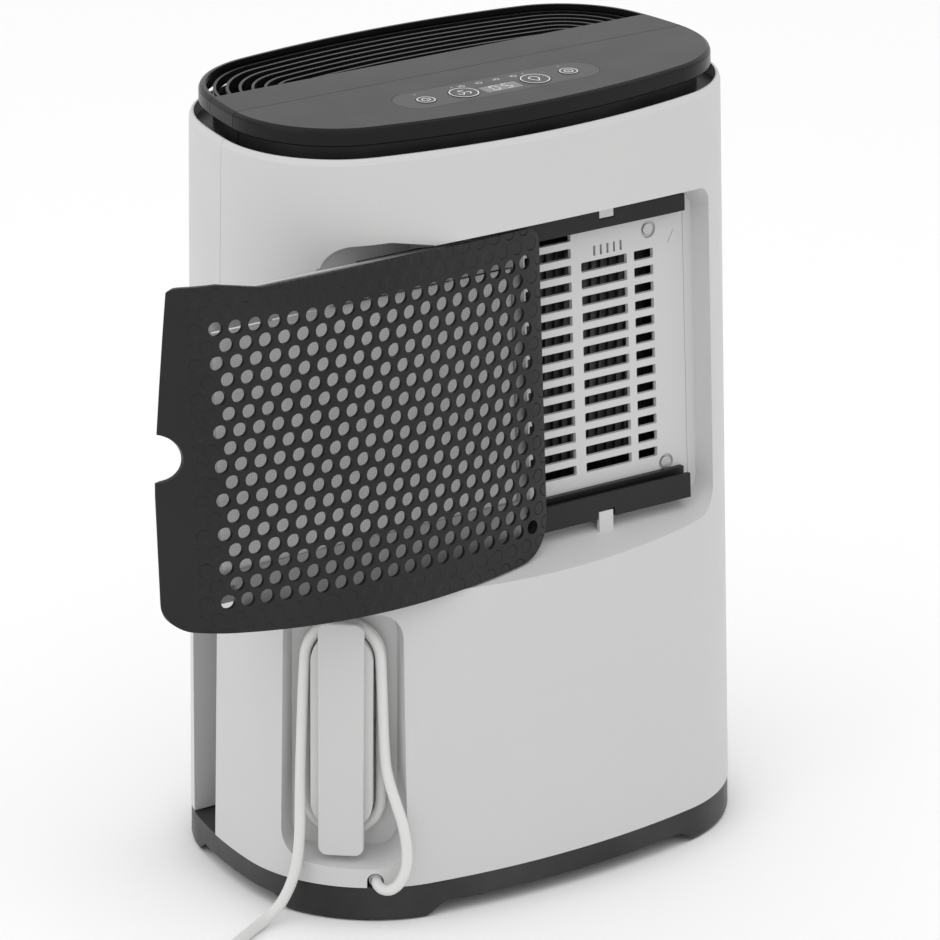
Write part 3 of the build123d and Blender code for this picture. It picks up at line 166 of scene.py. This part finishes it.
def tinted(tree, colour, other, factor):
    """A colour that moves towards another by a factor."""
    mix = tree.nodes.new("ShaderNodeMix")
    mix.data_type = "RGBA"
    mix.inputs["A"].default_value = (*colour, 1)
    mix.inputs["B"].default_value = (*other, 1)
    tree.links.new(factor, mix.inputs["Factor"])
    return mix.outputs["Result"]


def raised(tree, shader, height, strength, distance):
    """Adds a bump from a height value, on top of any bump already there."""
    bump = tree.nodes.new("ShaderNodeBump")
    bump.inputs["Strength"].default_value = strength
    bump.inputs["Distance"].default_value = distance
    before = shader.inputs["Normal"].links
    if before:
        tree.links.new(before[0].from_socket, bump.inputs["Normal"])
    tree.links.new(height, bump.inputs["Height"])
    tree.links.new(bump.outputs["Normal"], shader.inputs["Normal"])


def plastic(name, colour, roughness=0.45, grain=1400, grain_depth=0.00006, worn=0.06,
            specular=0.5, uneven=0.06):
    """Moulded plastic: fine eroded grain, faint blotches and handling marks."""
    material, tree, shader = shader_start(name)
    lighter = tuple(c + (1 - c) * worn for c in colour)
    blotch = spread(tree, noise(tree, 9, 5), 0.0, 0.6)
    tree.links.new(tinted(tree, colour, lighter, blotch), shader.inputs["Base Color"])
    rough = spread(tree, noise(tree, 38, 6), roughness - uneven, roughness + uneven)
    tree.links.new(rough, shader.inputs["Roughness"])
    shader.inputs["Specular IOR Level"].default_value = specular
    raised(tree, shader, noise(tree, grain, 2), 0.35, grain_depth)
    raised(tree, shader, noise(tree, 14, 2), 0.1, 0.0006)
    return material


def metal(name, colour, roughness=0.35, stretch=(1, 1, 1), grain=300):
    """Bare metal with a drawn or cast grain and some tarnish."""
    material, tree, shader = shader_start(name)
    dull = tuple(c * 0.72 for c in colour)
    tree.links.new(tinted(tree, colour, dull, spread(tree, noise(tree, 24, 6), 0, 0.7)),
                   shader.inputs["Base Color"])
    tree.links.new(spread(tree, noise(tree, 60, 5), roughness - 0.08, roughness + 0.12),
                   shader.inputs["Roughness"])
    shader.inputs["Metallic"].default_value = 1.0
    raised(tree, shader, noise(tree, grain, 3, stretch), 0.25, 0.0001)
    return material


def coordinate(tree, axis):
    """One object coordinate of the shaded point."""
    place = tree.nodes.new("ShaderNodeTexCoord")
    apart = tree.nodes.new("ShaderNodeSeparateXYZ")
    tree.links.new(place.outputs["Object"], apart.inputs["Vector"])
    return apart.outputs[axis]


def maths(tree, operation, first, second=None):
    """A Math node from sockets or numbers."""
    node = tree.nodes.new("ShaderNodeMath")
    node.operation = operation
    for socket, value in zip(node.inputs, (first, second)):
        if isinstance(value, (int, float)):
            socket.default_value = value
        elif value is not None:
            tree.links.new(value, socket)
    return node.outputs[0]


def stripes(tree, axis, pitch, share):
    """1 on lines across an axis, 0 between them; share is the lines' part of the pitch."""
    cycle = maths(tree, "FRACT", maths(tree, "DIVIDE", coordinate(tree, axis), pitch))
    return maths(tree, "LESS_THAN", cycle, share)


HOLE_PITCH = 12.5 * MM
ROW_PITCH = 10.7 * MM
FIRST_HOLE = (239.0 * MM, 409.0 * MM)   # x and z of the upper left hole
DIMPLE_END = 256.0 * MM                 # no dimples past this x
DIMPLE_FLOOR = 3.4 * MM                 # a dimple's radius at its bottom and at its rim
DIMPLE_RIM = 4.7 * MM
DIMPLE_DEPTH = 0.9 * MM


def dimpled(name, colour, roughness):
    """The cover's plastic: its pattern of holes goes on as blind dimples round the field."""
    material = plastic(name, colour, roughness, worn=0.01, specular=0.28)
    tree = material.node_tree
    shader = tree.nodes["Principled BSDF"]
    drop = maths(tree, "SUBTRACT", FIRST_HOLE[1], coordinate(tree, "Z"))
    row = maths(tree, "ROUND", maths(tree, "DIVIDE", drop, ROW_PITCH))
    odd = maths(tree, "PINGPONG", row, 1.0)
    shift = maths(tree, "MULTIPLY", odd, HOLE_PITCH / 2)
    run = maths(tree, "SUBTRACT", maths(tree, "SUBTRACT", FIRST_HOLE[0], coordinate(tree, "X")),
                shift)
    column = maths(tree, "ROUND", maths(tree, "DIVIDE", run, HOLE_PITCH))
    off_x = maths(tree, "SUBTRACT", run, maths(tree, "MULTIPLY", column, HOLE_PITCH))
    off_z = maths(tree, "SUBTRACT", drop, maths(tree, "MULTIPLY", row, ROW_PITCH))
    away = maths(tree, "SQRT", maths(tree, "ADD", maths(tree, "MULTIPLY", off_x, off_x),
                                     maths(tree, "MULTIPLY", off_z, off_z)))
    fit = tree.nodes.new("ShaderNodeMapRange")
    fit.interpolation_type = "SMOOTHSTEP"
    fit.inputs["From Min"].default_value = DIMPLE_FLOOR
    fit.inputs["From Max"].default_value = DIMPLE_RIM
    tree.links.new(away, fit.inputs["Value"])
    beyond = maths(tree, "GREATER_THAN", coordinate(tree, "X"), DIMPLE_END)
    height = maths(tree, "MAXIMUM", fit.outputs["Result"], beyond)
    raised(tree, shader, height, 1.0, DIMPLE_DEPTH)
    return material


THREAD_PITCH = 0.0014
THREAD_DEPTH = 0.0003


def woven(name, colour):
    """Filter mesh: fine threads both ways, the gaps between them darkened as painted shade, and
    some dust.
    """
    material, tree, shader = shader_start(name)
    threads = maths(tree, "MAXIMUM", stripes(tree, "X", THREAD_PITCH, 0.4),
                    stripes(tree, "Z", THREAD_PITCH, 0.45))
    dusty = tuple(min(1.0, c * 1.06) for c in colour)
    # the darker colour between the threads is painted shade in the mesh's openings
    gap_shade = tuple(c * 0.72 for c in colour)
    threads_and_gap_shade = tinted(tree, gap_shade, colour, threads)
    mix = tree.nodes.new("ShaderNodeMix")
    mix.data_type = "RGBA"
    mix.inputs["B"].default_value = (*dusty, 1)
    tree.links.new(spread(tree, noise(tree, 16, 6), 0, 0.5), mix.inputs["Factor"])
    tree.links.new(threads_and_gap_shade, mix.inputs["A"])
    tree.links.new(mix.outputs["Result"], shader.inputs["Base Color"])
    tree.links.new(spread(tree, noise(tree, 40, 4), 0.6, 0.8), shader.inputs["Roughness"])
    raised(tree, shader, threads, 0.6, THREAD_DEPTH)
    return material


def glassy(name, colour, roughness=0.12):
    """Clear plastic of the level window and the display lens."""
    material, tree, shader = shader_start(name)
    tree.links.new(tinted(tree, colour, tuple(c * 0.85 for c in colour),
                          spread(tree, noise(tree, 30, 4), 0, 0.8)), shader.inputs["Base Color"])
    tree.links.new(spread(tree, noise(tree, 70, 5), roughness, roughness + 0.08),
                   shader.inputs["Roughness"])
    shader.inputs["Coat Weight"].default_value = 0.6
    raised(tree, shader, noise(tree, 120, 2), 0.08, 0.0002)
    return material


materials = {
    "white_shell": plastic("white_shell", (0.56, 0.56, 0.558), 0.45, worn=0.03, specular=0.35),
    "black_base": plastic("black_base", (0.007, 0.007, 0.0075), 0.4, specular=0.28),
    "black_cap": plastic("black_cap", (0.006, 0.006, 0.0065), 0.28, worn=0.004, specular=0.16,
                         uneven=0.02),
    "grey_control": plastic("grey_control", (0.012, 0.012, 0.0125), 0.27, worn=0.004,
                            specular=0.24, uneven=0.02),
    "display": glassy("display", (0.004, 0.004, 0.005)),
    "filter_black": plastic("filter_black", (0.007, 0.007, 0.0075), 0.36, worn=0.01,
                            specular=0.28),
    "cover": dimpled("cover", (0.007, 0.007, 0.0075), 0.34),
    "filter_grey": plastic("filter_grey", (0.5, 0.5, 0.5), 0.5),
    "mesh": woven("mesh", (0.92, 0.92, 0.91)),
    "cord_white": plastic("cord_white", (0.66, 0.66, 0.65), 0.38, grain=700),
    "tank": plastic("tank", (0.6, 0.6, 0.6), 0.4, worn=0.03, specular=0.35),
    "window": glassy("window", (0.5, 0.55, 0.58)),
    "inner_grey": plastic("inner_grey", (0.2, 0.2, 0.205), 0.5),
    "steel": metal("steel", (0.5, 0.5, 0.51)),
    "compressor_black": plastic("compressor_black", (0.012, 0.012, 0.013), 0.3, grain=500),
    # fins: the dark grey colour is painted shade, standing in for the dark interior seen through
    # the louvre slots
    "fins": metal("fins", (0.1, 0.1, 0.105), 0.45, (60, 1, 1), 12),
    "copper": metal("copper", (0.72, 0.36, 0.2), 0.28),
    "board": plastic("board", (0.02, 0.13, 0.06), 0.35),
    "rubber": plastic("rubber", (0.015, 0.015, 0.015), 0.75, specular=0.3),
}
slot_of = {part["node"]: part["material_slot"] for part in frame["record"]["subparts"]}
for node_name, node in nodes.items():
    for slot in node.material_slots:
        slot.material = materials[slot_of[node_name]]
for slot in nodes["filter_cover"].material_slots:
    slot.material = materials["cover"]

studio()

# ---------------------------------------------------------------- mains cord
CORD = 7.0
WINDER_ANGLE = math.radians(40)
WINDER_SIDE = -61.3
NORMAL = Vector((math.sin(WINDER_ANGLE), math.cos(WINDER_ANGLE), 0))
ACROSS = Vector((-math.cos(WINDER_ANGLE), math.sin(WINDER_ANGLE), 0))


def on_wall(side, depth, height):
    """A point by its side along the wall from the winder, its depth and its height."""
    return NORMAL * depth + ACROSS * (side + WINDER_SIDE) + Vector((0, 0, height))


lead_route = [
    on_wall(21.8, 152.5, 27.4), on_wall(22.2, 161.0, 26.4), on_wall(26.0, 167.2, 24.0),
    on_wall(32.4, 170.6, 24.6), on_wall(38.8, 170.9, 30.0), on_wall(42.6, 168.6, 39.6),
    on_wall(42.4, 165.6, 52.6), on_wall(39.6, 162.4, 66.4), on_wall(34.6, 159.2, 79.8),
    on_wall(29.6, 155.2, 93.2), on_wall(26.4, 150.6, 107.0), on_wall(25.4, 147.6, 122.0)]
run_route = [
    on_wall(-25.2, 148.4, 116.0), on_wall(-26.2, 151.4, 96.0), on_wall(-26.0, 155.0, 76.0),
    on_wall(-25.6, 159.4, 58.0), on_wall(-26.4, 163.2, 40.6), on_wall(-29.8, 166.0, 25.4),
    on_wall(-35.8, 169.4, 12.6), on_wall(-43.2, 176.2, 5.2), on_wall(-49.8, 187.2, 3.6),
    on_wall(-55.0, 200.4, 3.6), on_wall(-60.2, 214.4, 3.6), on_wall(-67.0, 229.6, 3.6),
    on_wall(-76.4, 244.6, 3.6), on_wall(-89.2, 259.0, 3.6), on_wall(-104.0, 271.5, 3.6)]


def eased(value, start, end):
    """0 before start, 1 after end, and smooth between them."""
    share = min(1.0, max(0.0, (value - start) / (end - start)))
    return share * share * (3 - 2 * share)


WINDING_HALF = 23.6
WINDING_ARC = 47.6          # height of the arcs' centres above and below the winder's middle
WINDER_MIDDLE = 123.5
WINDING_BACK = 143.0
WINDING_FRONT = 148.9
WINDING_SLACK = 1.02        # a spline cuts inside its points, so they stand further out
HALF_TURNS = 3
ARC_STEPS = 8


def wound_turns():
    """One and a half turns round the winder: over its top, under it and over again."""
    points = []
    reach = WINDING_HALF * WINDING_SLACK
    for half_turn in range(HALF_TURNS):
        upper = 1 if half_turn % 2 == 0 else -1
        for step in range(ARC_STEPS + 1):
            angle = math.pi * step / ARC_STEPS
            side = reach * math.cos(angle) * upper
            rise = WINDING_ARC + reach * math.sin(angle)
            share = (half_turn + step / ARC_STEPS) / HALF_TURNS
            depth = WINDING_FRONT - (WINDING_FRONT - WINDING_BACK) * math.sin(math.pi * share)
            points.append(on_wall(side, depth, WINDER_MIDDLE + rise * upper))
        if half_turn < HALF_TURNS - 1:
            points.append(on_wall(-WINDING_HALF * upper, depth, WINDER_MIDDLE))
    return points


COIL_INNER = 34.0
COIL_OUTER = 41.0
COIL_STEPS = 20
COIL_TURNS = 3.5
COIL_SLACK = 1.008


def coil_turns(start, heading):
    """Turns on the floor: outer lane, inner lane, inner lane above, outer lane above."""
    side = Vector((-heading.y, heading.x, 0))
    centre = start + side * COIL_OUTER
    points = []
    for step in range(1, int(COIL_TURNS * COIL_STEPS) + 1):
        turn = step / COIL_STEPS
        radius = (COIL_OUTER + (COIL_INNER - COIL_OUTER) * eased(turn, 0.75, 1.1)
                  + (COIL_OUTER - COIL_INNER) * eased(turn, 2.55, 2.9))
        height = CORD * eased(turn, 1.75, 2.1)
        angle = 2 * math.pi * turn
        reach = radius * COIL_SLACK
        points.append(centre + heading * reach * math.sin(angle)
                      - side * reach * math.cos(angle) + Vector((0, 0, height)))
    return points


coil_heading = (run_route[-1] - run_route[-2]).normalized()
turns = coil_turns(run_route[-1], coil_heading)
TAIL = 34.0
PLUG_AXIS = 12.0
tail_start = turns[-1]
tail_end = tail_start - coil_heading * TAIL
tail_end.z = PLUG_AXIS
cord_route = (lead_route[:-1] + wound_turns() + run_route[1:] + turns
              + [tail_start * 0.66 + tail_end * 0.34, tail_start * 0.34 + tail_end * 0.66,
                 tail_end])


def cord_piece(name, route):
    """A round cord along one smooth spline through its listed route."""
    data = bpy.data.curves.new(name, "CURVE")
    data.dimensions = "3D"
    spline = data.splines.new("NURBS")
    spline.points.add(len(route) - 1)
    for point, place in zip(spline.points, route):
        point.co = (*(place * MM), 1)
    spline.order_u = 3
    spline.use_endpoint_u = True
    spline.resolution_u = 8
    data.bevel_depth = CORD / 2 * MM
    data.bevel_resolution = 6
    data.use_fill_caps = True
    piece = bpy.data.objects.new(name, data)
    piece.data.materials.append(materials["cord_white"])
    bpy.context.scene.collection.objects.link(piece)
    return piece


mains_cord = cord_piece("mains_cord", cord_route)
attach(mains_cord, "housing")
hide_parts("cord_lead", "cord_winding", "cord_run", "cord_coil", "cord_tail")


def turned(name, profile, start, heading, material):
    """A round piece from (distance, radius) pairs along a line, with a hollow middle."""
    across = heading.cross(Vector((0, 0, 1))).normalized()
    over = across.cross(heading)
    around = 32
    vertices = []
    for distance, radius in profile:
        for step in range(around):
            angle = 2 * math.pi * step / around
            vertices.append((start + heading * distance + across * radius * math.cos(angle)
                             + over * radius * math.sin(angle)) * MM)
    faces = []
    rings = len(profile)
    for ring in range(rings):
        for step in range(around):
            following = (ring + 1) % rings
            nxt = (step + 1) % around
            faces.append((ring * around + step, ring * around + nxt,
                          following * around + nxt, following * around + step))
    data = bpy.data.meshes.new(name)
    data.from_pydata(vertices, [], faces)
    data.materials.append(material)
    piece = bpy.data.objects.new(name, data)
    bpy.context.scene.collection.objects.link(piece)
    for face in data.polygons:
        face.use_smooth = True
    return piece


relief_line = (lead_route[1] - lead_route[0]).normalized()
relief_profile = [(-14, 3.55), (-14, 5.0), (-4, 5.0), (-3.4, 4.5), (-1.2, 4.5), (-0.6, 4.9),
                  (1.2, 4.8), (1.8, 4.4), (4, 4.4), (4.6, 4.7), (6, 4.6), (8, 4.1), (8.4, 3.9),
                  (8.4, 3.55)]
strain_relief = turned("strain_relief", relief_profile, lead_route[0], relief_line,
                       materials["cord_white"])
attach(strain_relief, "housing")
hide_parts("cord_bush")

# ---------------------------------------------------------------- marks on the controls
MARK_LIFT = 0.04


def ribbon(name, strokes, width, height, material, closed=False):
    """Flat lines for print and for the display's painted light: each stroke is a list of (x, y)
    points in millimetres.
    """
    vertices = []
    faces = []
    for stroke in strokes:
        count = len(stroke)
        first = len(vertices)
        for index, (x, y) in enumerate(stroke):
            before = stroke[index - 1] if index or closed else stroke[index]
            after = stroke[(index + 1) % count] if index < count - 1 or closed else stroke[index]
            along = Vector((after[0] - before[0], after[1] - before[1], 0)).normalized()
            off = Vector((-along.y, along.x, 0)) * width / 2
            vertices.append((Vector((x, y, height)) + off) * MM)
            vertices.append((Vector((x, y, height)) - off) * MM)
        links = count if closed else count - 1
        for index in range(links):
            a = first + 2 * index
            b = first + 2 * ((index + 1) % count)
            faces.append((a, a + 1, b + 1, b))
    data = bpy.data.meshes.new(name)
    data.from_pydata(vertices, [], faces)
    data.materials.append(material)
    piece = bpy.data.objects.new(name, data)
    bpy.context.scene.collection.objects.link(piece)
    return piece


def arc(centre, radius, start, end, steps=20):
    """Points of an arc between two angles in degrees."""
    angles = [math.radians(start + (end - start) * i / steps) for i in range(steps + 1)]
    return [(centre[0] + radius * math.cos(a), centre[1] + radius * math.sin(a)) for a in angles]


def centre_top(node_name):
    """Centre and top of a node in millimetres."""
    low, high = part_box(node_name)
    return (low[0] + high[0]) * 500, (low[1] + high[1]) * 500, high[2] * 1000


print_white = plastic("print_white", (0.78, 0.78, 0.78), 0.5)
# the digits' pale colour is painted light, standing in for the lit display segments without
# emission
painted_digit_glow = plastic("painted_digit_glow", (0.55, 0.6, 0.6), 0.4)

SEGMENTS = {"top": ((-1, 2), (1, 2)), "middle": ((-1, 0), (1, 0)), "bottom": ((-1, -2), (1, -2)),
            "upper_left": ((-1, 0), (-1, 2)), "upper_right": ((1, 0), (1, 2)),
            "lower_left": ((-1, -2), (-1, 0)), "lower_right": ((1, -2), (1, 0))}
DIGITS = {"5": ("top", "middle", "bottom", "upper_left", "lower_right"),
          "0": ("top", "bottom", "upper_left", "upper_right", "lower_left", "lower_right")}


DIGIT_SHIFT = 4.6           # each digit's distance from the lens's middle
SEGMENT_WIDTH = 2.3         # half a segment's length across and up
SEGMENT_HEIGHT = 2.1
SEGMENT_GAP = 0.5


def display_digits():
    """Two seven-segment digits on the lens, their pale colour painted light for the lit display.
    """
    x, y, top = centre_top("display_lens")
    strokes = []
    for digit, shift in (("5", -DIGIT_SHIFT), ("0", DIGIT_SHIFT)):
        for segment in DIGITS[digit]:
            start, end = (Vector((px * SEGMENT_WIDTH, py * SEGMENT_HEIGHT))
                          for px, py in SEGMENTS[segment])
            along = (end - start).normalized() * SEGMENT_GAP
            strokes.append([(x + shift + start.x + along.x, y + start.y + along.y),
                            (x + shift + end.x - along.x, y + end.y - along.y)])
    piece = ribbon("display_digits", strokes, 1.0, top + MARK_LIFT, painted_digit_glow)
    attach(piece, "housing")


display_digits()


KEY_STROKE = 0.7


def key_mark(node_name, body, strokes):
    """A small printed symbol on a key, riding with it."""
    x, y, top = centre_top(node_name)
    moved = [[(x + px, y + py) for px, py in stroke] for stroke in strokes]
    piece = ribbon(node_name + "_mark", moved, KEY_STROKE, top + MARK_LIFT, print_white)
    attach(piece, body)


drop = [(0, 5.0)] + arc((0, -1.4), 3.2, 150, 390, 16) + [(0, 5.0)]
blades = [arc((0.0, 0.0), 4.4, 120 * i, 120 * i + 60, 8) + [(0, 0)] for i in range(3)]
large_ring = arc((0, 0), 9.1, 0, 360, 48)
small_ring = arc((0, 0), 5.6, 0, 360, 40)
key_mark("key_power", "power_key",
         [small_ring, arc((0, 0), 2.6, 120, 420), [(0, 0.6), (0, 3.4)]])
key_mark("key_mode", "mode_key", [large_ring, *blades])
key_mark("key_humidity", "humidity_key", [large_ring, drop])
key_mark("key_timer", "timer_key",
         [small_ring, arc((0, 0), 2.7, 0, 360), [(0, 1.7), (0, 0), (1.3, 0)]])


PANEL_STROKE = 0.45
LAMP_ROW = 13.8             # the row's distance from the display's middle
LAMP_SHIFTS = (-19.5, -6.5, 6.5, 19.5)


def panel_marks():
    """A row of small lamps and dashes, printed on the control panel beside the display."""
    x, y, _ = centre_top("display_lens")
    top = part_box("control_panel")[1][2] * 1000
    row = y - LAMP_ROW
    strokes = []
    for shift in LAMP_SHIFTS:
        strokes.append(arc((x + shift, row), 1.5, 0, 360, 14))
        strokes.append([(x + shift + 2.6, row - 1.2), (x + shift + 2.6, row + 1.2)])
    for key_name in ("key_power", "key_mode", "key_humidity", "key_timer"):
        key_x, _, _ = centre_top(key_name)
        strokes.append([(key_x - 0.8, row - 1.0), (key_x + 0.8, row - 1.0)])
    piece = ribbon("panel_marks", strokes, PANEL_STROKE, top + MARK_LIFT, print_white)
    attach(piece, "housing")


panel_marks()
